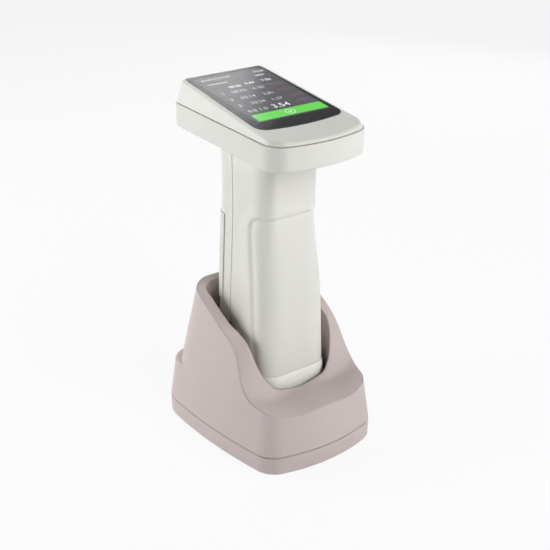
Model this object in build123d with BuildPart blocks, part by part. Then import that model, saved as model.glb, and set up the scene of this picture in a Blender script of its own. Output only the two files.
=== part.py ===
from build123d import *
import os
from math import cos, exp, hypot, log, radians, sin, sqrt

# Handheld spectrophotometer standing in its charging cradle. Millimetres, +Z up.
# The user sits on the -Y side. The origin is the middle of the cradle's footprint.

os.makedirs("parts", exist_ok=True)

# Cradle outline in plan, where the cover meets the base
cradle_length = 122.0
cradle_rear_width = 109.6
cradle_front_width = 84.0
cradle_front_bow = 7.7
cradle_front_corner = 17.0
cradle_rear_corner = 21.0
cradle_side_straight = 33.0
cradle_side_bow = 2.4
wall_draft = 8.5
wall_knee_z = 45.0
collar_draft = 12.2
cover_top_reach = 108.0

# Cradle heights
foot_proud = 0.6
foot_recess = 0.8
foot_radius = 6.0
base_height = 13.0
base_floor = 2.6
base_edge_radius = 2.0
shell_groove = 0.4
lip_clearance = 0.5
lip_wall = 1.2
lip_height = 2.2
cover_wall = 2.6
collar_rear_inset = 1.5
collar_rear_corner = 30.0
shoulder_z = 41.6
shoulder_edge_radius = 2.0

# Deck and collar top, as heights over the floor at places along Y
deck_middle_z = 41.6
deck_middle_half = 32.9
deck_fade_y = 10.0
deck_fade_length = 30.0
deck_side_heights = [
    (-66, 41), (-52, 43.4), (-42, 44.3), (-34, 45.3), (-28, 49.9), (-24.5, 54.4), (-21.5, 60), (-18, 66.5),
    (-15, 71.2), (-10.5, 75), (-5.5, 78.6), (2, 82), (14, 88), (24, 92.1), (34, 96.8), (44, 99.2), (66, 100),
]
rim_drops = [(-66, 1), (-34, 2.4), (-26, -2.2), (-18, -8), (-8, -4), (2, 0.5), (14, 1.5), (26, -1.5),
             (36, 2.5), (66, 3)]
rim_inner_half = 29.5
rim_inner_rear_y = 39.0
rim_side_width = 10.5
rim_rear_width = 4.4
rim_rounding = 6.0
rim_sharpness = 4.0
deck_skin = 4.0
deck_step = 2
deck_tolerance = 0.2

# Handle: height, half width, front and rear face, corner radius
handle_stations = [
    (51.8, 25.2, -25.5, 35.3, 11.0),
    (76.0, 24.8, -24.8, 35.6, 11.0),
    (104.0, 24.0, -23.8, 35.7, 10.5),
    (128.0, 22.8, -21.0, 35.6, 10.0),
    (152.0, 21.8, -18.9, 35.0, 10.0),
    (176.0, 21.5, -20.4, 34.2, 10.0),
    (188.0, 21.6, -20.9, 34.8, 10.0),
    (200.6, 21.9, -21.6, 38.6, 10.0),
]
handle_wall = 2.2
handle_seam_y = 15.0
seam_gap = 0.3

# Raised areas and key of the handle
grip_raise = 0.5
grip_top_z = 158.5
grip_edge_y = -1.2
grip_corner = 8.0
panel_raise = 0.6
panel_recess = 0.6
panel_back_gap = 0.05
panel_low_z = 90.0
panel_high_z = 150.0
panel_edge_y = 24.0
panel_corner = 10.0
key_width = 17.0
key_height = 16.0
key_corner = 5.0
key_middle_z = 164.0
key_proud = 1.7
key_travel = 1.2
key_play = 0.3
key_flange = 1.5
key_flange_height = 1.2
switch_half = 3.0
switch_height = 3.5

# Measuring nose: height over the aperture face, growth over the handle section
aperture_face_z = 22.2
nose_profile = [(1.2, -6.0), (7.8, -2.6), (15.8, 0.2), (22.8, 1.1), (25.8, 1.1), (29.3, 0.05)]
nose_wall = 2.2
socket_play = 0.7
mouth_profile = [(30.0, 0, 0, 0), (32.0, 0, 0, 0), (37.0, 2.1, 1.9, 1.0), (50.0, 2.1, 1.9, 1.0),
                 (cover_top_reach, 7.3, 3.0, 4.1)]
nose_seat_rise = 1.5
aperture_radius = 4.0
aperture_ring_radius = 12.0
aperture_ring_height = 2.4
sphere_radius = 20.0
sphere_wall = 2.0

# Head
head_width = 70.0
head_length = 114.0
head_front_bow = 6.6
head_front_corner = 13.5
head_rear_corner = 4.0
head_rear_y = 61.0
head_bottom_z = 200.6
tray_height = 15.2
tray_edge_radius = 1.6
head_wall = 2.2
glass_rear_z = 230.0
glass_rear_y = 58.5
glass_tilt = 6.1
glass_thickness = 1.2
glass_rear_half = 28.0
glass_front_half = 30.8
glass_front_y = -31.7
glass_front_bow = 3.6
glass_front_corner = 8.0
glass_rear_corner = 1.6
glass_play = 0.1
side_lean = 0.277
side_step = 1.0
rear_lean = 0.06
chin_lean = 0.5
bezel_edge_radius = 2.0
display_width = 54.5
display_length = 79.0
display_thickness = 2.6
display_middle_y = 17.0
light_radius = 0.9
light_x = 5.0
light_y = -36.6

# Fastenings and electronics
board_thickness = 1.6
cradle_screw_radius = 1.4
cradle_screw_head = 2.6
cradle_screw_length = 22.0
small_screw_radius = 1.0
small_screw_head = 1.9
screw_head_height = 1.5
screw_play = 0.05
head_play = 0.25
boss_wall = 1.8
boss_cap = 0.8
usb_width = 9.0
usb_height = 3.2
usb_depth = 7.4
usb_shell = 0.35
usb_tongue_half = 3.3
usb_tongue_height = 0.7
usb_set_back = 0.5
usb_play = 0.3
cell_radius = 9.2
cell_length = 65.0
cell_gap = 0.4
pin_radius = 1.0
pin_play = 0.05
pin_spacing = 10.0
pin_y = 22.0
pin_gap = 0.3
contact_radius = 2.4
contact_proud = 0.1
tile_radius = 15.0
tile_height = 4.0
tile_gap = 0.3

# Cradle's inner parts
cradle_screw_places = [(-36, -34), (36, -34), (-38, 43), (38, 43)]
foot_places = [(-30, -47), (30, -47), (-26, 51), (26, 51)]
well_post_places = [(-24, -20), (24, -20), (-24, 32), (24, 32)]
well_post_radius = 2.8
well_bottom_z = 15.4
well_wall = 1.8
well_floor = 2.0
neck_wall = 2.2
board_post_places = [(-13, 15), (13, 15), (-13, 50), (13, 50)]
board_post_radius = 2.0
charge_board_z = 4.6
charge_board_half = 17.0
charge_board_front_y = 11.0
charge_board_rear_y = 55.0
ballast_half = 20.5
ballast_front_y = -44.0
ballast_rear_y = 6.0
ballast_height = 6.0
seat_x = 15.5
seat_span_y = 31.0
seat_middle_y = 2.5
seat_gap = 0.3
pin_block_half = 9.0
pin_block_depth = 7.0
pin_block_top_z = 19.6
pin_collar_z = 13.0
pin_spring_room = 5.0
pad_y = 13.5
pad_width = 6.0
pad_low_z = 69.0
pad_high_z = 78.4
pad_depth = 5.6
pad_stand = 0.25
fit_gap = 0.1
snug_gap = 0.05
screw_clearance = 0.2
seat_wall = 1.0

# Handle's inner parts
handle_screw_places = [(-20.4, 104), (20.4, 104), (-18.6, 144), (18.6, 144)]
front_boss_y = 6.5
handle_head_y = 27.0
key_back_y = 30.4
handle_board_y = 21.5
handle_board_half = 13.0
handle_board_low_z = 70.0
handle_board_high_z = 192.0
cell_y = -4.0
cell_low_z = 101.5

# Nose and optics, inner sizes
nose_floor = 2.4
nose_ring_low = 3.0
nose_ring_high = 3.4
nose_ring_height = 3.5
port_radius = 3.5
lamp_board_rise = 11.3
lamp_board_radius = 22.3
lamp_count = 8
lamp_half = 1.0
optics_gap = 0.2
lens_radius = 4.5
lens_crown = 0.8
lens_height = 2.6
lens_set_back = 0.8
barrel_wall = 2.0
module_half = 17.0
module_low_z = 74.0
module_height = 24.0

# Head's inner parts
head_screw_places = [(-30.3, -20), (30.3, -20), (-29.6, 46), (29.6, 46)]
bezel_boss_top_z = 220.0
bezel_high_z = 238.0
cable_hole_y = 8.0
cable_hole_width = 26.0
cable_hole_length = 34.0
main_board_half = 26.5
main_board_front_y = -36.0
main_board_rear_y = 56.0
main_board_z = 205.5

# Values that follow from the ones above
half_length = cradle_length / 2
base_bottom_z = foot_proud
base_top_z = foot_proud + base_height
cover_bottom_z = base_top_z + shell_groove
neck_bottom_z = mouth_profile[0][0]
floor_top_z = base_bottom_z + base_floor
head_front_y = head_rear_y - head_length
tray_top_z = head_bottom_z + tray_height
bezel_bottom_z = tray_top_z + seam_gap
nose_bottom_z = aperture_face_z + nose_profile[0][0]
nose_station = handle_stations[0]
nose_growth = max(growth for height, growth in nose_profile)
socket_half = nose_station[1] + nose_growth + socket_play
socket_front_y = nose_station[2] - nose_growth - socket_play
socket_rear_y = nose_station[3] + nose_growth + socket_play
socket_corner = nose_station[4] + nose_growth + socket_play
cradle_usb_z = charge_board_z + board_thickness + usb_height / 2
head_usb_z = main_board_z + board_thickness + usb_height / 2
screw_seat_z = foot_proud + 2.0
switch_top_y = handle_board_y + board_thickness + switch_height
screw_top_z = screw_seat_z - screw_head_height + cradle_screw_length
head_screw_seat_z = head_bottom_z + 2.0
nose_top_z = aperture_face_z + nose_profile[-1][0]
sphere_z = aperture_face_z + nose_seat_rise + sphere_wall + sphere_radius
glass_plane = Plane(
    origin=(0, glass_rear_y, glass_rear_z),
    x_dir=(1, 0, 0),
    z_dir=(0, -sin(radians(glass_tilt)), cos(radians(glass_tilt))),
)


def along_glass(y):
    """Distance on the sloped glass plane for a place along Y."""
    return (y - glass_rear_y) / cos(radians(glass_tilt))


def smooth_value(stations, at):
    """Value at a place on a smooth curve through the stations."""
    for i in range(len(stations) - 1):
        low, high = stations[i], stations[i + 1]
        if at <= high[0] or i == len(stations) - 2:
            before = stations[max(i - 1, 0)]
            after = stations[min(i + 2, len(stations) - 1)]
            span = high[0] - low[0]
            slope_low = (high[1] - before[1]) / (high[0] - before[0])
            slope_high = (after[1] - low[1]) / (after[0] - low[0])
            t = (at - low[0]) / span
            rise = 3 * t**2 - 2 * t**3
            ease_in = (t**3 - 2 * t**2 + t) * span * slope_low
            ease_out = (t**3 - t**2) * span * slope_high
            return low[1] + (high[1] - low[1]) * rise + ease_in + ease_out


def ease(t):
    """Smooth step from 0 to 1."""
    t = min(max(t, 0.0), 1.0)
    return 3 * t**2 - 2 * t**3


def deck_height(x, y):
    """Height of the deck and of the collar's sloped top over the floor."""
    across = (hypot(x, rim_rounding) - rim_inner_half) / rim_side_width
    behind = (y - rim_inner_rear_y) / rim_rear_width
    reach = log(exp(rim_sharpness * across) + exp(rim_sharpness * behind)) / rim_sharpness
    rim = smooth_value(deck_side_heights, y) - smooth_value(rim_drops, y) * (1 - reach)
    middle = (1 - ease(abs(x) / deck_middle_half)) * ease((deck_fade_y - y) / deck_fade_length)
    return rim + (deck_middle_z - rim) * middle


def deck_cutter(drop):
    """Everything above the deck, lowered by a skin."""
    reach_x = round(cradle_rear_width / 2) + deck_step * 2
    reach_y = round(half_length) + deck_step
    rows = [
        [(x, y, deck_height(x, y) - drop) for y in range(-reach_y, reach_y + 1, deck_step)]
        for x in range(-reach_x, reach_x + 1, deck_step)
    ]
    sheet = Face.make_surface_from_array_of_points(rows, tol=deck_tolerance, min_deg=3, max_deg=5)
    with BuildPart() as cutter:
        extrude(sheet, amount=cover_top_reach, dir=(0, 0, 1))
    return cutter.part


def cradle_outline(height, inset, rear_inset, rear_corner):
    """The cradle's outline as a sketch at a height, drawn in all round by inset."""
    half = cradle_rear_width / 2 - inset
    front_half = cradle_front_width / 2 - inset
    rear_y = half_length - inset - rear_inset
    front_y = -half_length + inset
    turn_y = half_length - cradle_side_straight
    corner_y = front_y + cradle_front_bow
    side_middle = ((half + front_half) / 2 + cradle_side_bow, (turn_y + corner_y) / 2)
    with BuildSketch(Plane.XY.offset(height)) as outline:
        with BuildLine():
            ThreePointArc((-front_half, corner_y), (0, front_y), (front_half, corner_y))
            ThreePointArc((half, turn_y), side_middle, (front_half, corner_y))
            Polyline((half, turn_y), (half, rear_y), (-half, rear_y), (-half, turn_y))
            ThreePointArc((-half, turn_y), (-side_middle[0], side_middle[1]), (-front_half, corner_y))
        make_face()
        fillet(outline.vertices().group_by(Axis.Y)[-1], rear_corner - inset)
        fillet(outline.vertices().group_by(Axis.Y)[0], cradle_front_corner - inset)
    return outline.sketch


def cradle_block(inset, low_z, high_z):
    """Upright block on the cradle's outline."""
    with BuildPart() as block:
        add(cradle_outline(low_z, inset, 0, cradle_rear_corner))
        extrude(amount=high_z - low_z)
    return block.part


def collar_form(inset):
    """The collar's block, which draws in upwards, and more so above the knee."""
    with BuildPart() as block:
        add(cradle_outline(cover_bottom_z, inset, collar_rear_inset, collar_rear_corner))
        extrude(amount=wall_knee_z - cover_bottom_z, taper=wall_draft)
        extrude(block.faces().sort_by(Axis.Z)[-1], amount=cover_top_reach - wall_knee_z, taper=collar_draft)
    return block.part


def handle_form(growth):
    """Outer form of the handle, grown all round."""
    with BuildPart() as form:
        for height, half, front, rear, corner in handle_stations:
            with BuildSketch(Plane.XY.offset(height)):
                with Locations((0, (front + rear) / 2)):
                    RectangleRounded(2 * (half + growth), rear - front + 2 * growth, corner + growth)
        loft()
    return form.part


def nose_form(growth, low_cut=0.0):
    """Outer form of the measuring nose, grown all round."""
    with BuildPart() as form:
        for height, swell in nose_profile:
            grow = growth + swell
            lift = low_cut if height == nose_profile[0][0] else 0.0
            with BuildSketch(Plane.XY.offset(aperture_face_z + height + lift)):
                with Locations((0, (nose_station[2] + nose_station[3]) / 2)):
                    RectangleRounded(
                        2 * (nose_station[1] + grow),
                        nose_station[3] - nose_station[2] + 2 * grow,
                        nose_station[4] + grow,
                    )
        loft()
    return form.part


def nose_ring(outer_growth, inner_growth, low_z, high_z):
    """Upright ring on the nose's plan section."""
    middle_y = (nose_station[2] + nose_station[3]) / 2
    length = nose_station[3] - nose_station[2]
    with BuildPart() as ring:
        with BuildSketch(Plane.XY.offset(low_z)):
            with Locations((0, middle_y)):
                RectangleRounded(2 * (nose_station[1] + outer_growth), length + 2 * outer_growth,
                                 nose_station[4] + outer_growth)
                RectangleRounded(2 * (nose_station[1] + inner_growth), length + 2 * inner_growth,
                                 nose_station[4] + inner_growth, mode=Mode.SUBTRACT)
        extrude(amount=high_z - low_z)
    return ring.part


def socket_block(growth, low_z, high_z):
    """Upright block with the section of the cradle's socket, grown all round."""
    with BuildPart() as block:
        with BuildSketch(Plane.XY.offset(low_z)):
            with Locations((0, (socket_front_y + socket_rear_y) / 2)):
                RectangleRounded(
                    2 * (socket_half + growth),
                    socket_rear_y - socket_front_y + 2 * growth,
                    socket_corner + growth,
                )
        extrude(amount=high_z - low_z)
    return block.part


def socket_mouth(growth):
    """Wider upper part of the socket, which flares towards the deck, grown all round."""
    with BuildPart() as mouth:
        for height, side, front, rear in mouth_profile:
            low_y = socket_front_y - front - growth
            high_y = socket_rear_y + rear + growth
            with BuildSketch(Plane.XY.offset(height)):
                with Locations((0, (low_y + high_y) / 2)):
                    RectangleRounded(2 * (socket_half + side + growth), high_y - low_y, socket_corner + growth)
        loft(ruled=True)
    return mouth.part


def head_block(low_z, high_z, low_inset, high_inset, rear_high_inset, front_high_inset):
    """Block on the head's outline, drawn in by more at the top."""
    with BuildPart() as block:
        for z, side, rear, front in (
            (low_z, low_inset, low_inset, low_inset),
            (high_z, high_inset, rear_high_inset, front_high_inset),
        ):
            half = head_width / 2 - side
            rear_y = head_rear_y - rear
            front_y = head_front_y + front
            corner_y = front_y + head_front_bow
            with BuildSketch(Plane.XY.offset(z)) as outline:
                with BuildLine():
                    ThreePointArc((-half, corner_y), (0, front_y), (half, corner_y))
                    Polyline((half, corner_y), (half, rear_y), (-half, rear_y), (-half, corner_y))
                make_face()
                fillet(outline.vertices().group_by(Axis.Y)[-1], head_rear_corner - min(side, 1.5))
                fillet(outline.vertices().group_by(Axis.Y)[0], head_front_corner - min(side, 8))
        loft(ruled=True)
    return block.part


def glass_block(growth, depth):
    """Block with the outline of the screen glass, from its top face down."""
    rear = growth
    front = along_glass(glass_front_y) - growth
    with BuildPart() as block:
        with BuildSketch(glass_plane) as outline:
            with BuildLine():
                ThreePointArc(
                    (-glass_front_half - growth, front + glass_front_bow),
                    (0, front),
                    (glass_front_half + growth, front + glass_front_bow),
                )
                Polyline(
                    (glass_front_half + growth, front + glass_front_bow),
                    (glass_rear_half + growth, rear),
                    (-glass_rear_half - growth, rear),
                    (-glass_front_half - growth, front + glass_front_bow),
                )
            make_face()
            fillet(outline.vertices().group_by(Axis.Y)[-1], max(glass_rear_corner + growth, 0.6))
            fillet(outline.vertices().group_by(Axis.Y)[0], glass_front_corner + growth)
        extrude(amount=-depth)
    return block.part


def side_region(low_y, high_y, low_z, high_z, corner, where):
    """Slab across the whole width, with rounded corners as seen from the side."""
    with BuildPart() as region:
        with BuildSketch(Plane.YZ):
            with Locations(((low_y + high_y) / 2, (low_z + high_z) / 2)):
                slab = Rectangle(high_y - low_y, high_z - low_z)
            chosen = [v for v in slab.vertices() if where(v)]
            fillet(chosen, corner)
        extrude(amount=head_width, both=True)
    return region.part


handle_outer = handle_form(0.0)
handle_inner = handle_form(-handle_wall)

# Cradle cover: tapered shell, lower behind the collar, with a neck down the socket
def cover_form(inset, drop):
    """Outer form of the cover, drawn in by the wall and lowered by the skin."""
    with BuildPart() as form:
        add(cradle_outline(cover_bottom_z, inset, 0, cradle_rear_corner))
        extrude(amount=shoulder_z - inset - cover_bottom_z, taper=wall_draft)
        fillet(form.edges().group_by(Axis.Z)[-1], shoulder_edge_radius)
        add(collar_form(inset))
        add(deck_cutter(drop), mode=Mode.SUBTRACT)
    return form.part


def round_posts(places, radius, low_z, high_z):
    """Upright cylinders at the given places in plan."""
    with BuildPart() as posts:
        with BuildSketch(Plane.XY.offset(low_z)):
            with Locations(*places):
                Circle(radius)
        extrude(amount=high_z - low_z)
    return posts.part


def plain_block(half_x, low_y, high_y, low_z, high_z):
    """Block across the middle plane."""
    with BuildPart() as block:
        with BuildSketch(Plane.XY.offset(low_z)):
            with Locations((0, (low_y + high_y) / 2)):
                Rectangle(2 * half_x, high_y - low_y)
        extrude(amount=high_z - low_z)
    return block.part


def side_posts(places, radius, low_y, high_y):
    """Cylinders along Y at the given places in X and Z."""
    with BuildPart() as posts:
        with BuildSketch(Plane.XZ.offset(-high_y)):
            with Locations(*places):
                Circle(radius)
        extrude(amount=high_y - low_y)
    return posts.part


def screws_up(places, radius, head_radius, head_z, length):
    """Screws that point up, with a crossed recess in each head."""
    with BuildPart() as screws:
        add(round_posts(places, head_radius, head_z, head_z + screw_head_height))
        add(round_posts(places, radius, head_z + screw_head_height, head_z + length))
        with BuildSketch(Plane.XY.offset(head_z)):
            with Locations(*places):
                Rectangle(1.5 * head_radius, 0.3 * head_radius)
                Rectangle(0.3 * head_radius, 1.5 * head_radius)
        extrude(amount=0.5 * screw_head_height, mode=Mode.SUBTRACT)
    return screws.part


def usb_receptacle(rear_y, middle_z):
    """Metal shell of a small charging socket, open to the rear, with its tongue."""
    with BuildPart() as socket:
        with BuildSketch(Plane.XZ.offset(-rear_y)):
            with Locations((0, middle_z)):
                SlotOverall(usb_width, usb_height)
        extrude(amount=usb_depth)
        with BuildSketch(Plane.XZ.offset(-rear_y)):
            with Locations((0, middle_z)):
                SlotOverall(usb_width - 2 * usb_shell, usb_height - 2 * usb_shell)
        extrude(amount=usb_depth - 2 * usb_set_back, mode=Mode.SUBTRACT)
        with BuildSketch(Plane.XZ.offset(-rear_y + usb_set_back)):
            with Locations((0, middle_z)):
                Rectangle(2 * usb_tongue_half, usb_tongue_height)
        extrude(amount=usb_depth - 2 * usb_set_back)
    return socket.part


def usb_opening(rear_y, middle_z):
    """Slot through a rear wall for a charging plug."""
    with BuildPart() as slot:
        with BuildSketch(Plane.XZ.offset(-rear_y - 1)):
            with Locations((0, middle_z)):
                SlotOverall(usb_width + 2 * usb_play, usb_height + 2 * usb_play)
        extrude(amount=usb_depth + 1)
    return slot.part


# Cradle cover
cradle_boss_radius = cradle_screw_radius + boss_wall
with BuildPart() as cover_hollow:
    add(cover_form(cover_wall, deck_skin))
    add(socket_mouth(neck_wall), mode=Mode.SUBTRACT)
    add(round_posts(cradle_screw_places, cradle_boss_radius, cover_bottom_z, cover_top_reach),
        mode=Mode.SUBTRACT)

with BuildPart() as guide_pads:
    with BuildSketch(Plane.XY.offset(pad_low_z)):
        with GridLocations(2 * (socket_half - pad_stand) + pad_depth, 1, 2, 1):
            with Locations((0, pad_y)):
                Rectangle(pad_depth, pad_width)
    extrude(amount=pad_high_z - pad_low_z)

with BuildPart() as cradle_cover:
    add(cover_form(0.0, 0.0))
    add(cover_hollow.part, mode=Mode.SUBTRACT)
    add(socket_mouth(0.0), mode=Mode.SUBTRACT)
    add(guide_pads.part, mode=Mode.SUBTRACT)
    add(round_posts(cradle_screw_places, cradle_screw_radius + screw_play, cover_bottom_z, screw_top_z + 1),
        mode=Mode.SUBTRACT)

# Cradle base: tray with a locating lip, posts and screw seats
lip_inset = cover_wall + lip_clearance
with BuildPart() as cradle_base:
    add(cradle_block(0, base_bottom_z, base_top_z))
    fillet(cradle_base.edges().group_by(Axis.Z)[0], base_edge_radius)
    add(cradle_block(lip_inset, base_top_z, base_top_z + lip_height))
    add(cradle_block(lip_inset + lip_wall, floor_top_z, base_top_z + 2 * lip_height), mode=Mode.SUBTRACT)
    add(round_posts(cradle_screw_places, cradle_screw_head + head_play + seat_wall, floor_top_z,
                    base_top_z + shell_groove / 2))
    add(round_posts(well_post_places, well_post_radius, floor_top_z, well_bottom_z))
    add(round_posts(board_post_places, board_post_radius, floor_top_z, charge_board_z))
    add(round_posts(cradle_screw_places, cradle_screw_head + head_play, 0, screw_seat_z),
        mode=Mode.SUBTRACT)
    add(round_posts(cradle_screw_places, cradle_screw_radius + screw_clearance, 0, cover_bottom_z),
        mode=Mode.SUBTRACT)
    add(round_posts(foot_places, foot_radius + fit_gap, 0, foot_proud + foot_recess), mode=Mode.SUBTRACT)
    add(usb_opening(half_length, cradle_usb_z), mode=Mode.SUBTRACT)

with BuildPart() as rubber_feet:
    add(round_posts(foot_places, foot_radius, 0, foot_proud + foot_recess))
    fillet(rubber_feet.edges().group_by(Axis.Z)[0], 0.4)

with BuildPart() as cradle_screws:
    add(screws_up(cradle_screw_places, cradle_screw_radius, cradle_screw_head,
                  screw_seat_z - screw_head_height, cradle_screw_length))

with BuildPart() as ballast_plate:
    add(plain_block(ballast_half, ballast_front_y, ballast_rear_y, floor_top_z, floor_top_z + ballast_height))
    chamfer(ballast_plate.edges().filter_by(Axis.Z), 3)

with BuildPart() as charge_board:
    add(plain_block(charge_board_half, charge_board_front_y, charge_board_rear_y,
                    charge_board_z, charge_board_z + board_thickness))
    with BuildSketch(Plane.XY.offset(charge_board_z + board_thickness)):
        with Locations((-9, 42), (8, 36)):
            Rectangle(6, 5)
    extrude(amount=1.1)

with BuildPart() as cradle_usb_socket:
    add(usb_receptacle(half_length - usb_set_back, cradle_usb_z))

# Cradle well: dark cup under the neck, with seats for the nose
with BuildPart() as cradle_well:
    add(socket_block(well_wall, well_bottom_z, neck_bottom_z))
    add(socket_block(0.0, well_bottom_z + well_floor, neck_bottom_z), mode=Mode.SUBTRACT)
    with BuildSketch(Plane.XY.offset(well_bottom_z + well_floor)):
        with GridLocations(2 * seat_x, seat_span_y, 2, 2):
            with Locations((0, seat_middle_y)):
                Rectangle(5, 4)
    extrude(amount=nose_bottom_z - seat_gap - well_bottom_z - well_floor)
    add(plain_block(pin_block_half + fit_gap, pin_y - pin_block_depth / 2 - fit_gap,
                    pin_y + pin_block_depth / 2 + fit_gap, well_bottom_z, well_bottom_z + well_floor),
        mode=Mode.SUBTRACT)

tile_low_z = aperture_face_z - tile_gap - tile_height
with BuildPart() as tile_holder:
    add(round_posts([(0, 0)], tile_radius + 2, well_bottom_z + well_floor, tile_low_z + 0.5 * tile_height))
    add(round_posts([(0, 0)], tile_radius + fit_gap, tile_low_z, aperture_face_z), mode=Mode.SUBTRACT)

with BuildPart() as calibration_tile:
    add(round_posts([(0, 0)], tile_radius, tile_low_z, tile_low_z + tile_height))
    chamfer(calibration_tile.edges().group_by(Axis.Z)[-1], 0.4)

# Sprung charging contacts
pin_places = [(-pin_spacing / 2, pin_y), (pin_spacing / 2, pin_y)]
contact_low_z = nose_bottom_z - contact_proud
pin_tip_z = contact_low_z - pin_gap
with BuildPart() as charge_pins:
    add(round_posts(pin_places, pin_radius, pin_collar_z, pin_tip_z))
    fillet(charge_pins.edges().group_by(Axis.Z)[-1], 0.6)
    add(round_posts(pin_places, pin_radius + 0.5, pin_collar_z, pin_collar_z + 1))

with BuildPart() as pin_block:
    add(plain_block(pin_block_half, pin_y - pin_block_depth / 2, pin_y + pin_block_depth / 2,
                    charge_board_z + board_thickness, pin_block_top_z))
    add(round_posts(pin_places, pin_radius + pin_play, pin_collar_z, pin_block_top_z), mode=Mode.SUBTRACT)
    add(round_posts(pin_places, pin_radius + 0.8, pin_collar_z - pin_spring_room, pin_collar_z + 1.2),
        mode=Mode.SUBTRACT)

# Handle shells
with BuildPart() as handle_front_shell:
    add(handle_form(grip_raise))
    add(side_region(-head_width, grip_edge_y, handle_stations[0][0] - 20, grip_top_z, grip_corner,
                    lambda v: v.Y > -head_width + 1 and v.Z > handle_stations[0][0]), mode=Mode.INTERSECT)
    add(handle_form(0.0))
    add(handle_inner, mode=Mode.SUBTRACT)
    add(side_posts(handle_screw_places, small_screw_radius + boss_wall, front_boss_y, handle_seam_y))
    split(bisect_by=Plane.XZ.offset(-handle_seam_y + seam_gap / 2), keep=Keep.TOP)
    add(side_posts(handle_screw_places, small_screw_radius + screw_play, front_boss_y + 1, handle_seam_y),
        mode=Mode.SUBTRACT)

panel_region = side_region(panel_edge_y, head_width, panel_low_z, panel_high_z, panel_corner,
                           lambda v: v.Y < panel_edge_y + 1)
with BuildPart() as rear_grip_panel:
    add(handle_form(panel_raise))
    add(panel_region, mode=Mode.INTERSECT)
    add(handle_form(panel_back_gap - panel_recess), mode=Mode.SUBTRACT)

with BuildPart() as rear_boss_core:
    add(side_posts(handle_screw_places, small_screw_head + head_play + 0.6, handle_seam_y, head_rear_y))
    add(handle_form(-handle_wall / 2), mode=Mode.INTERSECT)

with BuildPart() as panel_pocket:
    add(side_region(panel_edge_y - fit_gap, head_width, panel_low_z - fit_gap, panel_high_z + fit_gap,
                    panel_corner, lambda v: v.Y < panel_edge_y + 1))
    add(handle_form(-panel_recess), mode=Mode.SUBTRACT)


def key_prism(growth, low_y, high_y):
    """Upright rounded block of the measuring key, along Y."""
    with BuildPart() as prism:
        with BuildSketch(Plane.XZ.offset(-high_y)):
            with Locations((0, key_middle_z)):
                RectangleRounded(key_width + 2 * growth, key_height + 2 * growth, key_corner + growth)
        extrude(amount=high_y - low_y)
    return prism.part


with BuildPart() as handle_rear_shell:
    add(handle_outer)
    add(handle_inner, mode=Mode.SUBTRACT)
    add(rear_boss_core.part)
    split(bisect_by=Plane.XZ.offset(-handle_seam_y - seam_gap / 2), keep=Keep.BOTTOM)
    add(panel_pocket.part, mode=Mode.SUBTRACT)
    add(key_prism(key_play, key_back_y, head_rear_y), mode=Mode.SUBTRACT)
    add(side_posts(handle_screw_places, small_screw_radius + screw_clearance, handle_seam_y, head_rear_y),
        mode=Mode.SUBTRACT)
    add(side_posts(handle_screw_places, small_screw_head + head_play, handle_head_y, head_rear_y),
        mode=Mode.SUBTRACT)

with BuildPart() as handle_screws:
    add(side_posts(handle_screw_places, small_screw_radius, front_boss_y + 2, handle_head_y))
    add(side_posts(handle_screw_places, small_screw_head, handle_head_y, handle_head_y + screw_head_height))

# Measuring key, its switch and the handle's board
with BuildPart() as measure_key:
    add(key_prism(0.0, key_back_y, head_rear_y))
    add(handle_form(key_proud), mode=Mode.INTERSECT)
    fillet(measure_key.faces().sort_by(Axis.Y)[-1].edges(), 1.0)
    add(key_prism(key_flange, key_back_y, key_back_y + key_flange_height))

with BuildPart() as key_switch:
    with BuildSketch(Plane.XZ.offset(-switch_top_y)):
        with Locations((0, key_middle_z)):
            Rectangle(2 * switch_half, 2 * switch_half)
    extrude(amount=switch_height)
    add(side_posts([(0, key_middle_z)], 0.6 * switch_half, switch_top_y, key_back_y - key_travel - key_play))

with BuildPart() as handle_board:
    with BuildSketch(Plane.XZ.offset(-handle_board_y - board_thickness)):
        with Locations((0, (handle_board_low_z + handle_board_high_z) / 2)):
            RectangleRounded(2 * handle_board_half, handle_board_high_z - handle_board_low_z, 2)
    extrude(amount=board_thickness)
    with BuildSketch(Plane.XZ.offset(-handle_board_y)):
        with Locations((-4, 186), (5, 182), (0, 84)):
            Rectangle(5, 5)
    extrude(amount=1.2)

cell_places = [(-cell_radius - cell_gap / 2, cell_y), (cell_radius + cell_gap / 2, cell_y)]
with BuildPart() as battery_cells:
    add(round_posts(cell_places, cell_radius, cell_low_z, cell_low_z + cell_length))
    fillet(battery_cells.edges().filter_by(GeomType.CIRCLE), 0.8)
    add(round_posts(cell_places, 2.8, cell_low_z + cell_length, cell_low_z + cell_length + 0.8))

# Measuring nose and optics
with BuildPart() as nose_cap:
    add(nose_form(0.0))
    add(nose_form(-nose_wall, nose_floor), mode=Mode.SUBTRACT)
    add(nose_ring(-1.0, -nose_ring_low, nose_top_z - 3, nose_top_z))
    add(nose_ring(-handle_wall - fit_gap, -nose_ring_high, nose_top_z, nose_top_z + nose_ring_height))
    add(round_posts([(0, 0)], aperture_ring_radius + fit_gap, aperture_face_z, sphere_z), mode=Mode.SUBTRACT)
    add(round_posts(pin_places, contact_radius + snug_gap, aperture_face_z, nose_bottom_z + 2 * nose_floor),
        mode=Mode.SUBTRACT)

with BuildPart() as aperture_ring:
    add(round_posts([(0, 0)], aperture_ring_radius, aperture_face_z, aperture_face_z + aperture_ring_height))
    fillet(aperture_ring.edges().group_by(Axis.Z)[0], 0.6)
    with BuildSketch(Plane.XY.offset(aperture_face_z)):
        Circle(aperture_radius)
    extrude(amount=aperture_ring_height, taper=-30, mode=Mode.SUBTRACT)

with BuildPart() as charge_contacts:
    add(round_posts(pin_places, contact_radius, contact_low_z, nose_bottom_z + nose_floor))

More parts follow.
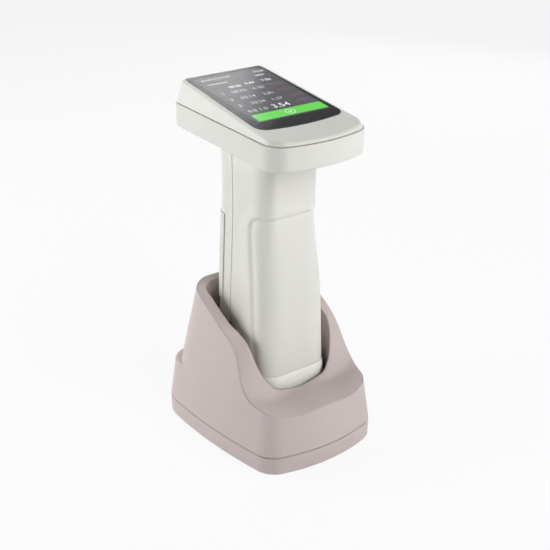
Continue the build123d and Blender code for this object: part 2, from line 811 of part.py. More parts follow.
with BuildPart() as sphere_shell:
    with Locations((0, 0, sphere_z)):
        Sphere(sphere_radius + sphere_wall)
        Sphere(sphere_radius, mode=Mode.SUBTRACT)
    add(round_posts([(0, 0)], aperture_radius + 1.5, aperture_face_z, sphere_z), mode=Mode.SUBTRACT)
    add(round_posts([(0, 0)], port_radius, sphere_z, sphere_z + 2 * sphere_radius), mode=Mode.SUBTRACT)
    split(bisect_by=Plane.XY.offset(aperture_face_z + aperture_ring_height + optics_gap), keep=Keep.TOP)

with BuildPart() as sphere_upper_half:
    add(sphere_shell.part)
    split(bisect_by=Plane.XY.offset(sphere_z), keep=Keep.TOP)

with BuildPart() as sphere_lower_half:
    add(sphere_shell.part)
    split(bisect_by=Plane.XY.offset(sphere_z), keep=Keep.BOTTOM)

lamp_inner = sqrt((sphere_radius + sphere_wall) ** 2 - lamp_board_rise**2) + optics_gap
with BuildPart() as lamp_board:
    with BuildSketch(Plane.XY.offset(sphere_z + lamp_board_rise)):
        Circle(lamp_board_radius)
        Circle(lamp_inner, mode=Mode.SUBTRACT)
    extrude(amount=board_thickness)
    with BuildSketch(Plane.XY.offset(sphere_z + lamp_board_rise + board_thickness)):
        with PolarLocations((lamp_inner + lamp_board_radius) / 2, lamp_count):
            Rectangle(2 * lamp_half, 2 * lamp_half)
    extrude(amount=lamp_half)

barrel_low_z = sphere_z + sphere_radius + sphere_wall + optics_gap
with BuildPart() as spectrometer_module:
    add(plain_block(module_half, -module_half, module_half, module_low_z, module_low_z + module_height))
    fillet(spectrometer_module.edges().filter_by(Axis.Z), 2)
    add(round_posts([(0, 0)], lens_radius + barrel_wall, barrel_low_z, module_low_z))
    add(round_posts([(0, 0)], lens_radius + snug_gap, barrel_low_z, module_low_z), mode=Mode.SUBTRACT)
    add(round_posts([(0, 0)], 2, module_low_z, module_low_z + 4), mode=Mode.SUBTRACT)

lens_low_z = barrel_low_z + lens_set_back
with BuildPart() as viewing_lens:
    with BuildSketch(Plane.XZ):
        with BuildLine():
            lens_face = ThreePointArc(
                (0, lens_low_z),
                (lens_radius / 2, lens_low_z + lens_crown / 4),
                (lens_radius, lens_low_z + lens_crown),
            )
            Polyline(lens_face @ 1, (lens_radius, lens_low_z + lens_height), (0, lens_low_z + lens_height),
                     lens_face @ 0)
        make_face()
    revolve(axis=Axis.Z)

# Head
with BuildPart() as head_lower_housing:
    add(head_block(head_bottom_z, tray_top_z, 0, 0, 0, 0))
    fillet(head_lower_housing.edges().group_by(Axis.Z)[0], tray_edge_radius)
    add(head_block(head_bottom_z + head_wall, tray_top_z, head_wall, head_wall, head_wall, head_wall),
        mode=Mode.SUBTRACT)
    add(round_posts(head_screw_places, small_screw_radius + boss_wall, head_bottom_z, tray_top_z))
    add(round_posts(head_screw_places, small_screw_head + head_play, head_bottom_z, head_screw_seat_z),
        mode=Mode.SUBTRACT)
    add(round_posts(head_screw_places, small_screw_radius + screw_clearance, head_bottom_z, tray_top_z),
        mode=Mode.SUBTRACT)
    with BuildSketch(Plane.XY.offset(head_bottom_z)):
        with Locations((0, cable_hole_y)):
            RectangleRounded(cable_hole_width, cable_hole_length, 4)
    extrude(amount=head_wall, mode=Mode.SUBTRACT)
    add(usb_opening(head_rear_y, head_usb_z), mode=Mode.SUBTRACT)


def bezel_form(inset, drop):
    """Wedge of the upper housing, drawn in and lowered under the screen's plane."""
    rise = bezel_high_z - bezel_bottom_z
    start = side_step + inset
    with BuildPart() as wedge:
        add(head_block(bezel_bottom_z, bezel_high_z, start, start + side_lean * rise,
                       start + rear_lean * rise, start + chin_lean * rise))
        split(bisect_by=glass_plane.offset(-drop), keep=Keep.BOTTOM)
    return wedge.part


with BuildPart() as bezel_hollow:
    add(bezel_form(head_wall, head_wall))
    add(round_posts(head_screw_places, small_screw_radius + boss_wall, bezel_bottom_z, bezel_boss_top_z),
        mode=Mode.SUBTRACT)

with BuildPart() as head_upper_housing:
    add(bezel_form(0.0, 0.0))
    fillet(head_upper_housing.faces().sort_by(Axis.Z)[-1].edges(), bezel_edge_radius)
    add(bezel_hollow.part, mode=Mode.SUBTRACT)
    add(glass_block(glass_play, glass_thickness), mode=Mode.SUBTRACT)
    add(glass_block(-0.5, 3 * head_wall), mode=Mode.SUBTRACT)
    add(round_posts(head_screw_places, small_screw_radius + screw_play, bezel_bottom_z,
                    bezel_boss_top_z - boss_cap), mode=Mode.SUBTRACT)
    with BuildSketch(glass_plane):
        with Locations((light_x, along_glass(light_y))):
            Circle(light_radius + snug_gap)
    extrude(amount=-3 * head_wall, mode=Mode.SUBTRACT)

with BuildPart() as status_light:
    with BuildSketch(glass_plane):
        with Locations((light_x, along_glass(light_y))):
            Circle(light_radius)
    extrude(amount=-2 * head_wall)

with BuildPart() as screen_glass:
    add(glass_block(0.0, glass_thickness))
    chamfer(screen_glass.faces().sort_by(Axis.Z)[-1].edges(), 0.2)

with BuildPart() as display_panel:
    with BuildSketch(glass_plane.offset(-glass_thickness)):
        with Locations((0, along_glass(display_middle_y))):
            RectangleRounded(display_width, display_length, 1)
    extrude(amount=-display_thickness)

with BuildPart() as main_board:
    add(plain_block(main_board_half, main_board_front_y, main_board_rear_y,
                    main_board_z, main_board_z + board_thickness))
    with BuildSketch(Plane.XY.offset(main_board_z + board_thickness)):
        with Locations((0, 14), (-14, -16), (14, -10)):
            Rectangle(12, 12)
    extrude(amount=1.4)

with BuildPart() as usb_socket:
    add(usb_receptacle(head_rear_y - usb_set_back, head_usb_z))

with BuildPart() as head_screws:
    add(screws_up(head_screw_places, small_screw_radius, small_screw_head,
                  head_screw_seat_z - screw_head_height, bezel_boss_top_z - 2 - head_screw_seat_z))

pieces = {
    "cradle_cover": cradle_cover,
    "cradle_base": cradle_base,
    "cradle_well": cradle_well,
    "guide_pads": guide_pads,
    "tile_holder": tile_holder,
    "calibration_tile": calibration_tile,
    "charge_pins": charge_pins,
    "pin_block": pin_block,
    "charge_board": charge_board,
    "cradle_usb_socket": cradle_usb_socket,
    "ballast_plate": ballast_plate,
    "rubber_feet": rubber_feet,
    "cradle_screws": cradle_screws,
    "handle_front_shell": handle_front_shell,
    "handle_rear_shell": handle_rear_shell,
    "rear_grip_panel": rear_grip_panel,
    "measure_key": measure_key,
    "key_switch": key_switch,
    "handle_board": handle_board,
    "battery_cells": battery_cells,
    "handle_screws": handle_screws,
    "nose_cap": nose_cap,
    "aperture_ring": aperture_ring,
    "charge_contacts": charge_contacts,
    "sphere_upper_half": sphere_upper_half,
    "sphere_lower_half": sphere_lower_half,
    "lamp_board": lamp_board,
    "spectrometer_module": spectrometer_module,
    "viewing_lens": viewing_lens,
    "head_lower_housing": head_lower_housing,
    "head_upper_housing": head_upper_housing,
    "status_light": status_light,
    "screen_glass": screen_glass,
    "display_panel": display_panel,
    "main_board": main_board,
    "usb_socket": usb_socket,
    "head_screws": head_screws,
}
for label, piece in pieces.items():
    piece.part.label = label
    export_step(piece.part, f"parts/{label}.step")
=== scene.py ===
import bpy
from math import radians, sin, cos, sqrt, pi
from mathutils import Vector, Matrix


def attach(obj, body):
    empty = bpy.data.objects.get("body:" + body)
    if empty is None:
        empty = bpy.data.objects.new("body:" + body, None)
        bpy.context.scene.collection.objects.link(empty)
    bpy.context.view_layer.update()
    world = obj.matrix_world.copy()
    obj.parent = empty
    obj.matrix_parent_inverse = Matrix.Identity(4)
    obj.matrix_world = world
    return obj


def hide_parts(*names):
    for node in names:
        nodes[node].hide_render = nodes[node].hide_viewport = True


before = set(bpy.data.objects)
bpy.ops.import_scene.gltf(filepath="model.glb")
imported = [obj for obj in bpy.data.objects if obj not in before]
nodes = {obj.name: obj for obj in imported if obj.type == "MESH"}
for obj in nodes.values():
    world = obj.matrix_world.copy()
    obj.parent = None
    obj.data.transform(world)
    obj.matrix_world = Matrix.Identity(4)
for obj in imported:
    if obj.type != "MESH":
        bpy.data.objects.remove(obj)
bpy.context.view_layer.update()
print("frame in place with", len(nodes), "nodes")


def paint(red, green, blue):  # screen colour to shader colour
    line = []
    for part in (red, green, blue):
        part = part / 255
        line.append(part / 12.92 if part <= 0.04045 else ((part + 0.055) / 1.055) ** 2.4)
    return (line[0], line[1], line[2], 1.0)


# camera as the photograph has it
cameraLook = {"target": (0.0, 0.0065, 0.110), "azimuth": -34.55, "elevation": 26.36, "distance": 0.678,
              "lens": 68.46, "sensor": 36, "shiftX": 0.01096, "shiftY": -0.0065, "near": 0.05, "far": 20}


def makeCamera(look):
    turn, lift = radians(look["azimuth"]), radians(look["elevation"])
    back = Vector((sin(turn) * cos(lift), -cos(turn) * cos(lift), sin(lift)))
    lens = bpy.data.cameras.new("studioCamera")
    lens.sensor_width = look["sensor"]
    lens.lens = look["lens"]
    lens.shift_x, lens.shift_y = look["shiftX"], look["shiftY"]
    lens.clip_start, lens.clip_end = look["near"], look["far"]
    camera = bpy.data.objects.new("studioCamera", lens)
    bpy.context.scene.collection.objects.link(camera)
    camera.location = Vector(look["target"]) + back * look["distance"]
    camera.rotation_mode = "QUATERNION"
    camera.rotation_quaternion = (-back).to_track_quat("-Z", "Y")
    bpy.context.scene.camera = camera


makeCamera(cameraLook)

# soft boxes, a low even sky, and a white surround that a mirrored ray sees greying towards the ceiling
studio = {
    "boxes": {
        "leftBox": {"place": (-0.791, 0.554, 0.379), "aim": (0, 0, 0.12), "size": 0.70, "watts": 7.5},
        "frontBox": {"place": (0.131, -0.828, 0.665), "aim": (0, 0, 0.12), "size": 0.60, "watts": 5.3},
        "sideBox": {"place": (0.636, -0.707, 0.429), "aim": (0, 0, 0.12), "size": 0.60, "watts": 2.8},
        "topBox": {"place": (0.000, 0.574, 0.939), "aim": (0, 0, 0.12), "size": 0.70, "watts": 2.4},
        "rearBox": {"place": (0.770, 0.539, 0.462), "aim": (0, 0, 0.12), "size": 0.70, "watts": 2.4,
                    "mirrored": False},
        "screenBox": {"place": (0.363, 0.922, 0.721), "aim": (0, 0.01, 0.225), "size": 0.50, "watts": 1.5,
                      "lights": False},
    },
    "skyStrength": 0.03,
    "ceilingStart": 0.10, "ceilingEnd": 0.45, "ceilingTone": 0.15,
    "floorSize": 6.0, "floorColour": paint(242, 242, 242), "floorRough": 0.9, "floorLift": 0.88,
}


def seenDirectly(tree, ray):  # 1 where the camera sees it, straight on, mirrored or through glass
    mirrored = tree.nodes.new("ShaderNodeMath"); mirrored.operation = "MAXIMUM"
    through = tree.nodes.new("ShaderNodeMath"); through.operation = "MAXIMUM"
    tree.links.new(ray.outputs["Is Camera Ray"], mirrored.inputs[0])
    tree.links.new(ray.outputs["Is Glossy Ray"], mirrored.inputs[1])
    tree.links.new(mirrored.outputs[0], through.inputs[0])
    tree.links.new(ray.outputs["Is Transmission Ray"], through.inputs[1])
    return through.outputs[0]


def makeStudio(look):
    for name, box in look["boxes"].items():
        lamp = bpy.data.lights.new(name, "AREA")
        lamp.shape = "SQUARE"
        lamp.size = box["size"]
        lamp.energy = box["watts"]
        holder = bpy.data.objects.new(name, lamp)
        bpy.context.scene.collection.objects.link(holder)
        holder.location = box["place"]
        holder.visible_glossy = box.get("mirrored", True)
        holder.visible_diffuse = box.get("lights", True)
        holder.rotation_euler = (Vector(box["aim"]) - Vector(box["place"])).to_track_quat("-Z", "Y").to_euler()

    world = bpy.data.worlds.new("studioWorld")
    bpy.context.scene.world = world
    world.use_nodes = True
    tree = world.node_tree
    tree.nodes.clear()
    ray = tree.nodes.new("ShaderNodeLightPath")
    way = tree.nodes.new("ShaderNodeTexCoord")
    split = tree.nodes.new("ShaderNodeSeparateXYZ")
    dim = tree.nodes.new("ShaderNodeMapRange")  # what a mirrored ray loses as it rises
    dim.inputs["From Min"].default_value = look["ceilingStart"]
    dim.inputs["From Max"].default_value = look["ceilingEnd"]
    dim.inputs["To Min"].default_value = 0.0
    dim.inputs["To Max"].default_value = 1 - look["ceilingTone"]
    loss = tree.nodes.new("ShaderNodeMath"); loss.operation = "MULTIPLY"
    level = tree.nodes.new("ShaderNodeMath"); level.operation = "SUBTRACT"
    level.inputs[0].default_value = 1.0
    tree.links.new(way.outputs["Generated"], split.inputs[0])
    tree.links.new(split.outputs["Z"], dim.inputs["Value"])
    tree.links.new(dim.outputs[0], loss.inputs[0])
    tree.links.new(ray.outputs["Is Glossy Ray"], loss.inputs[1])
    tree.links.new(loss.outputs[0], level.inputs[1])
    sky = tree.nodes.new("ShaderNodeBackground"); sky.inputs["Strength"].default_value = look["skyStrength"]
    white = tree.nodes.new("ShaderNodeBackground"); tree.links.new(level.outputs[0], white.inputs["Strength"])
    for part in (sky, white):
        part.inputs["Color"].default_value = (1, 1, 1, 1)
    mix = tree.nodes.new("ShaderNodeMixShader")
    tree.links.new(seenDirectly(tree, ray), mix.inputs[0])
    tree.links.new(sky.outputs[0], mix.inputs[1])
    tree.links.new(white.outputs[0], mix.inputs[2])
    end = tree.nodes.new("ShaderNodeOutputWorld")
    tree.links.new(mix.outputs[0], end.inputs["Surface"])

    bpy.ops.mesh.primitive_plane_add(size=look["floorSize"], location=(0, 0, 0))
    floor = bpy.context.object
    floor.name = "studioFloor"
    paper = bpy.data.materials.new("studioPaper")
    paper.use_nodes = True
    tree = paper.node_tree
    shader = tree.nodes["Principled BSDF"]
    shader.inputs["Base Color"].default_value = look["floorColour"]
    shader.inputs["Roughness"].default_value = look["floorRough"]
    glow = tree.nodes.new("ShaderNodeEmission")  # keeps the paper white where it is seen
    share = tree.nodes.new("ShaderNodeMath"); share.operation = "MULTIPLY"
    share.inputs[1].default_value = look["floorLift"]
    ray = tree.nodes.new("ShaderNodeLightPath")
    mix = tree.nodes.new("ShaderNodeMixShader")
    tree.links.new(seenDirectly(tree, ray), share.inputs[0])
    tree.links.new(share.outputs[0], mix.inputs[0])
    tree.links.new(shader.outputs[0], mix.inputs[1])
    tree.links.new(glow.outputs[0], mix.inputs[2])
    tree.links.new(mix.outputs[0], tree.nodes["Material Output"].inputs["Surface"])
    floor.data.materials.append(paper)


makeStudio(studio)
bpy.context.scene.view_settings.view_transform = "Standard"
print("studio in place")


# finishes: colour, roughness, how much the colour varies, grains per metre, grain depth, soft edge in metres
finishes = {
    "palePlastic": {"colour": paint(226, 225, 219), "rough": 0.42, "vary": 0.03, "grain": 5200, "depth": 0.05,
                    "edge": 0.0005},
    # nose cap: the pale plastic painted lighter, a painted highlight standing in for the light on the nose's upper
    # swell
    "nosePaintedLighter": {"colour": paint(241, 240, 235), "rough": 0.40, "vary": 0.02, "grain": 5200, "depth": 0.05,
                    "edge": 0.0006},
    "gripPlastic": {"colour": paint(222, 221, 215), "rough": 0.50, "vary": 0.03, "grain": 4200, "depth": 0.08,
                    "edge": 0.0007},
    "cradlePlastic": {"colour": paint(203, 190, 188), "rough": 0.55, "vary": 0.035, "grain": 3600, "depth": 0.10,
                      "edge": 0.0018},
    "darkPlastic": {"colour": paint(42, 42, 44), "rough": 0.55, "vary": 0.10, "grain": 3600, "depth": 0.10,
                    "edge": 0.0003},
    "blackRubber": {"colour": paint(30, 30, 31), "rough": 0.80, "vary": 0.12, "grain": 2400, "depth": 0.20,
                    "edge": 0.0003},
    "whiteCeramic": {"colour": paint(240, 240, 236), "rough": 0.12, "vary": 0.01, "grain": 900, "depth": 0.02,
                     "edge": 0.0003},
    "whiteCoating": {"colour": paint(245, 245, 243), "rough": 0.95, "vary": 0.01, "grain": 2600, "depth": 0.10,
                     "edge": 0.0003},
    "blackAluminium": {"colour": paint(54, 54, 58), "rough": 0.38, "vary": 0.08, "grain": 5000, "depth": 0.06,
                       "edge": 0.0003, "metal": 0.7},
    "steelScrew": {"colour": paint(160, 160, 164), "rough": 0.32, "vary": 0.08, "grain": 3000, "depth": 0.04,
                   "edge": 0.0002, "metal": 1.0},
    "zincSheet": {"colour": paint(172, 176, 180), "rough": 0.45, "vary": 0.14, "grain": 420, "depth": 0.05,
                  "edge": 0.0003, "metal": 1.0},
    "goldContact": {"colour": paint(222, 182, 96), "rough": 0.22, "vary": 0.05, "grain": 3000, "depth": 0.02,
                    "edge": 0.0002, "metal": 1.0},
    "greenLight": {"colour": paint(196, 236, 178), "rough": 0.25, "vary": 0.04, "grain": 3000, "depth": 0.02,
                   "edge": 0.0001},
    "cellSleeve": {"colour": paint(40, 78, 150), "rough": 0.28, "vary": 0.06, "grain": 260, "depth": 0.10,
                   "edge": 0.0006},
}

# what all mouldings share: slow change of tone, fine grain of the mould, and how far the roughness follows it
moulding = {"cloudScale": 38, "cloudDetail": 3, "grainDetail": 2, "grainHeight": 0.0001,
            "roughLow": 0.9, "roughHigh": 1.1, "edgeSamples": 4}


def newFinish(name):
    finish = bpy.data.materials.new(name)
    finish.use_nodes = True
    tree = finish.node_tree
    return finish, tree, tree.nodes["Principled BSDF"]


def noiseOnObject(tree, scale, detail):
    place = tree.nodes.new("ShaderNodeTexCoord")
    noise = tree.nodes.new("ShaderNodeTexNoise")
    noise.inputs["Scale"].default_value = scale
    noise.inputs["Detail"].default_value = detail
    tree.links.new(place.outputs["Object"], noise.inputs["Vector"])
    return noise


def twoTones(tree, factor, dark, light, target):  # a Mix node's colour sockets are 6 and 7 in, 2 out
    tone = tree.nodes.new("ShaderNodeMix"); tone.data_type = "RGBA"
    tone.inputs[6].default_value, tone.inputs[7].default_value = dark, light
    tree.links.new(factor, tone.inputs[0])
    tree.links.new(tone.outputs[2], target)


def shade(colour, by):
    return [min(part * by, 1) for part in colour[:3]] + [1]


def mouldedFinish(name, look):
    finish, tree, shader = newFinish(name)
    shader.inputs["Metallic"].default_value = look.get("metal", 0.0)
    cloud = noiseOnObject(tree, moulding["cloudScale"], moulding["cloudDetail"])
    grain = noiseOnObject(tree, look["grain"], moulding["grainDetail"])  # spark-eroded surface of the mould
    twoTones(tree, cloud.outputs["Fac"], shade(look["colour"], 1 - look["vary"]),
             shade(look["colour"], 1 + look["vary"]), shader.inputs["Base Color"])
    sheen = tree.nodes.new("ShaderNodeMapRange")
    sheen.inputs["To Min"].default_value = look["rough"] * moulding["roughLow"]
    sheen.inputs["To Max"].default_value = min(look["rough"] * moulding["roughHigh"], 1)
    bump = tree.nodes.new("ShaderNodeBump")
    bump.inputs["Strength"].default_value = look["depth"]
    bump.inputs["Distance"].default_value = moulding["grainHeight"]
    edge = tree.nodes.new("ShaderNodeBevel")  # mould radius on the edges
    edge.samples = moulding["edgeSamples"]
    edge.inputs["Radius"].default_value = look["edge"]
    tree.links.new(grain.outputs["Fac"], sheen.inputs["Value"])
    tree.links.new(sheen.outputs[0], shader.inputs["Roughness"])
    tree.links.new(grain.outputs["Fac"], bump.inputs["Height"])
    tree.links.new(edge.outputs[0], bump.inputs["Normal"])
    tree.links.new(bump.outputs[0], shader.inputs["Normal"])
    return finish


# circuit boards: solder mask with copper runs under it and pale pads; runs and pads per metre
boardLook = {"mask": paint(18, 92, 56), "maskDim": 0.86, "copper": paint(36, 122, 78), "pad": paint(196, 186, 150),
             "rough": 0.30, "runs": 260, "runWidth": 0.06, "pads": 420, "padReach": 0.16}


def boardFinish(look):
    finish, tree, shader = newFinish("circuitBoard")
    shader.inputs["Roughness"].default_value = look["rough"]
    place = tree.nodes.new("ShaderNodeTexCoord")
    runs = tree.nodes.new("ShaderNodeTexBrick")
    runs.inputs["Scale"].default_value = look["runs"]
    runs.inputs["Mortar Size"].default_value = look["runWidth"]
    runs.inputs["Color1"].default_value = look["mask"]
    runs.inputs["Color2"].default_value = shade(look["mask"], look["maskDim"])
    runs.inputs["Mortar"].default_value = look["copper"]
    pads = tree.nodes.new("ShaderNodeTexVoronoi")
    pads.inputs["Scale"].default_value = look["pads"]
    near = tree.nodes.new("ShaderNodeMath"); near.operation = "LESS_THAN"
    near.inputs[1].default_value = look["padReach"]
    tone = tree.nodes.new("ShaderNodeMix"); tone.data_type = "RGBA"
    tone.inputs[7].default_value = look["pad"]
    for texture in (runs, pads):
        tree.links.new(place.outputs["Object"], texture.inputs["Vector"])
    tree.links.new(pads.outputs["Distance"], near.inputs[0])
    tree.links.new(near.outputs[0], tone.inputs[0])
    tree.links.new(runs.outputs["Color"], tone.inputs[6])
    tree.links.new(tone.outputs[2], shader.inputs["Base Color"])
    return finish


# clear glass with faint wipe marks: cover of the screen and the lens before the sensor
glassLooks = {
    "coverGlass": {"tint": paint(250, 251, 252), "rough": 0.17, "ior": 1.45},
    "opticalGlass": {"tint": paint(236, 246, 250), "rough": 0.02, "ior": 1.52},
}
wipeMarks = {"scale": 60, "detail": 4, "roughLow": 0.8, "roughHigh": 1.3, "dim": 0.985}


def glassFinish(name, look):
    finish, tree, shader = newFinish(name)
    shader.inputs["Transmission Weight"].default_value = 1.0
    shader.inputs["IOR"].default_value = look["ior"]
    smear = noiseOnObject(tree, wipeMarks["scale"], wipeMarks["detail"])
    wipe = tree.nodes.new("ShaderNodeMapRange")
    wipe.inputs["To Min"].default_value = look["rough"] * wipeMarks["roughLow"]
    wipe.inputs["To Max"].default_value = look["rough"] * wipeMarks["roughHigh"]
    twoTones(tree, smear.outputs["Fac"], shade(look["tint"], wipeMarks["dim"]), look["tint"],
             shader.inputs["Base Color"])
    tree.links.new(smear.outputs["Fac"], wipe.inputs["Value"])
    tree.links.new(wipe.outputs[0], shader.inputs["Roughness"])
    return finish


# what the display shows: lit colour and strength, in a fine grid of picture cells
glowLooks = {
    "litWhite": {"colour": paint(250, 250, 252), "strength": 1.00},
    "litGrey": {"colour": paint(222, 223, 228), "strength": 0.85},
    "litRed": {"colour": paint(158, 104, 118), "strength": 0.80},
    "litGreen": {"colour": paint(118, 244, 96), "strength": 0.90},
    "litDark": {"colour": paint(88, 88, 93), "strength": 0.90},
    # the printed black border glows faintly: painted light on a part that is no lamp
    "printedBlackGlowing": {"colour": paint(16, 16, 18), "strength": 0.80},
}
pictureCells = {"scale": 7000, "dim": 0.90, "unlit": (0.01, 0.01, 0.01, 1)}


def glowFinish(name, look):
    finish, tree, shader = newFinish(name)
    shader.inputs["Base Color"].default_value = pictureCells["unlit"]
    shader.inputs["Roughness"].default_value = 1.0
    shader.inputs["Specular IOR Level"].default_value = 0.0
    shader.inputs["Emission Strength"].default_value = look["strength"]
    place = tree.nodes.new("ShaderNodeTexCoord")
    cells = tree.nodes.new("ShaderNodeTexChecker")
    cells.inputs["Scale"].default_value = pictureCells["scale"]
    cells.inputs["Color1"].default_value = look["colour"]
    cells.inputs["Color2"].default_value = shade(look["colour"], pictureCells["dim"])
    tree.links.new(place.outputs["Object"], cells.inputs["Vector"])
    tree.links.new(cells.outputs["Color"], shader.inputs["Emission Color"])
    return finish


made = {name: mouldedFinish(name, look) for name, look in finishes.items()}
made["circuitBoard"] = boardFinish(boardLook)
for name, look in glassLooks.items():
    made[name] = glassFinish(name, look)
for name, look in glowLooks.items():
    made[name] = glowFinish(name, look)

dressing = {
    "palePlastic": ["handle_front_shell", "handle_rear_shell", "head_lower_housing", "head_upper_housing"],
    # the nose cap takes the lighter copy of the pale plastic, a painted highlight
    "nosePaintedLighter": ["nose_cap"],
    "gripPlastic": ["rear_grip_panel", "measure_key"],
    "cradlePlastic": ["cradle_cover", "cradle_base"],
    "darkPlastic": ["cradle_well", "tile_holder", "pin_block", "key_switch", "aperture_ring", "display_panel"],
    "blackRubber": ["guide_pads", "rubber_feet"],
    "blackAluminium": ["spectrometer_module"],
    "whiteCeramic": ["calibration_tile"],
    "whiteCoating": ["sphere_upper_half", "sphere_lower_half"],
    "steelScrew": ["cradle_screws", "handle_screws", "head_screws", "usb_socket", "cradle_usb_socket"],
    "zincSheet": ["ballast_plate"],
    "goldContact": ["charge_pins", "charge_contacts"],
    "greenLight": ["status_light"],
    "cellSleeve": ["battery_cells"],
    "circuitBoard": ["main_board", "handle_board", "charge_board", "lamp_board"],
    "coverGlass": ["screen_glass"],
    "opticalGlass": ["viewing_lens"],
}
for finish, names in dressing.items():
    for name in names:
        nodes[name].data.materials.clear()
        nodes[name].data.materials.append(made[finish])
print("finishes on")


def deselectAll():
    if bpy.context.object and bpy.context.object.mode != "OBJECT":
        bpy.ops.object.mode_set(mode="OBJECT")
    bpy.ops.object.select_all(action="DESELECT")


# screen: all places in millimetres on the glass, x to the right and y away from the user
# each number is its text, x, y, height and how much bolder it is; each plate is left, near, right and far
screen = {
    "tilt": 6.1, "rearY": 58.5, "rearZ": 230.0,
    "underGlass": 0.34, "step": 0.02,
    "fontScale": 1.35, "fontCurve": 4,
    "border": {"rearHalf": 27.6, "frontHalf": 30.3, "rearY": 58.1, "frontY": -30.9, "bow": 3.5, "corner": 7.6,
               "cornerCut": 0.2, "rearCut": 1, "steps": 8},
    "area": {"low": (-24.6, -18.6), "high": (27.2, 54.6)},
    "bar": {"low": (-22.5, -17.0), "high": (27.1, -7.6)},
    "numbers": {
        "litWhite": [("3.54", -3.6, -4.4, 5.4, 0.10), ("98.20", -10.8, 33.2, 3.0, 0.08),
                     ("9.43", 1.8, 34.2, 3.0, 0.08), ("7.06", 14.4, 34.4, 3.0, 0.08),
                     ("10:24", 17.2, 48.9, 2.8, 0.06)],
        "litGrey": [("58.72", -13.4, 25.6, 3.5, 0.06), ("6.30", 1.9, 25.4, 3.5, 0.06),
                    ("65.14", -13.1, 15.6, 3.5, 0.06), ("2.81", 2.6, 15.0, 3.5, 0.06),
                    ("33.24", -12.3, 6.2, 3.5, 0.06), ("1.27", 2.3, 5.6, 3.5, 0.06),
                    ("0.8 1.0", -20.6, -3.9, 3.7, 0.06), ("0018 24 07", -17.6, 49.0, 3.0, 0.06),
                    ("1", -20.4, 25.6, 3.5, 0.06), ("2", -20.8, 15.6, 3.5, 0.06), ("3", -21.2, 6.0, 3.5, 0.06)],
        "litRed": [("-0.382", 13.4, 26.4, 3.5, 0.07), ("-0.027", 13.3, 16.6, 3.5, 0.07),
                   ("-1.640", 13.6, 5.8, 3.5, 0.07), ("-0.93", 14.0, -2.6, 3.3, 0.07)],
    },
    "plates": {
        "litGrey": [(-20.6, 49.2, -18.6, 51.4), (-20.6, 42.2, -6.0, 43.4), (15.4, 43.2, 21.6, 45.2),
                    (21.8, 43.8, 22.3, 44.6)],
    },
    "ring": {"middle": (2.2, -12.3), "radius": 3.1, "width": 0.45, "around": 48, "across": 8},
    "tick": [(0.6, -12.2), (1.7, -13.6), (4.0, -10.9)], "tickHalf": 0.3,
}


def glassMatrix(depth):
    tilt = radians(screen["tilt"])
    move = Matrix.Translation((0, screen["rearY"] / 1000, screen["rearZ"] / 1000))
    return move @ Matrix.Rotation(tilt, 4, "X") @ Matrix.Translation((0, 0, -depth / 1000))


def onGlass(x, y):
    return x / 1000, (y - screen["rearY"]) / 1000 / cos(radians(screen["tilt"]))


def laidPlate(name, points, depth, thick):
    deselectAll()
    bpy.ops.mesh.primitive_circle_add(vertices=len(points), fill_type="NGON")
    plate = bpy.context.object
    plate.name = name
    for vertex, point in zip(plate.data.vertices, points):
        vertex.co = (*onGlass(*point), 0)
    bpy.ops.object.mode_set(mode="EDIT")
    bpy.ops.mesh.select_all(action="SELECT")
    bpy.ops.mesh.extrude_region_move(TRANSFORM_OT_translate={"value": (0, 0, thick / 1000)})
    bpy.ops.mesh.select_all(action="SELECT")
    bpy.ops.mesh.normals_make_consistent(inside=False)
    bpy.ops.object.mode_set(mode="OBJECT")
    plate.data.transform(glassMatrix(depth))
    plate.matrix_world = Matrix.Identity(4)
    return plate


def joined(name, parts, finish):
    deselectAll()
    for part in parts:
        part.select_set(True)
    bpy.context.view_layer.objects.active = parts[0]
    if len(parts) > 1:
        bpy.ops.object.join()
    piece = bpy.context.object
    piece.name = name
    piece.data.materials.clear()
    piece.data.materials.append(made[finish])
    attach(piece, "instrument")
    return piece


def arcPoints(middle, radius, start, end, steps):
    turns = [start + (end - start) * i / steps for i in range(steps + 1)]
    return [(middle[0] + radius * cos(turn), middle[1] + radius * sin(turn)) for turn in turns]


def borderOutline(look):
    half, corner, low, steps = look["frontHalf"], look["corner"], look["frontY"], look["steps"]
    bowRise = look["bow"] * ((half - corner) / half) ** 2
    front = [(i * (half - corner) / steps, low + look["bow"] * (i / steps * (half - corner) / half) ** 2)
             for i in range(-steps, steps + 1)]
    cut = look["cornerCut"]
    right = arcPoints((half - corner, low + bowRise + corner), corner, -pi / 2 + cut, 0, steps)
    left = arcPoints((-half + corner, low + bowRise + corner), corner, pi, 1.5 * pi - cut, steps)
    wide, far, chamfer = look["rearHalf"], look["rearY"], look["rearCut"]
    rear = [(wide, far - chamfer), (wide - chamfer, far), (-wide + chamfer, far), (-wide, far - chamfer)]
    return front + right + rear + left


def boxOutline(low, high):
    return [low, (high[0], low[1]), high, (low[0], high[1])]


def writtenNumber(text, x, y, size, thicken, depth):
    deselectAll()
    bpy.ops.object.text_add()
    words = bpy.context.object
    words.data.body = text
    words.data.size = size / 1000 * screen["fontScale"]
    words.data.offset = thicken / 1000
    words.data.extrude = screen["step"] / 2000
    words.data.resolution_u = screen["fontCurve"]
    bpy.ops.object.convert(target="MESH")
    words = bpy.context.object
    words.data.transform(Matrix.Translation((*onGlass(x, y), 0)))
    words.data.transform(glassMatrix(depth))
    words.matrix_world = Matrix.Identity(4)
    return words


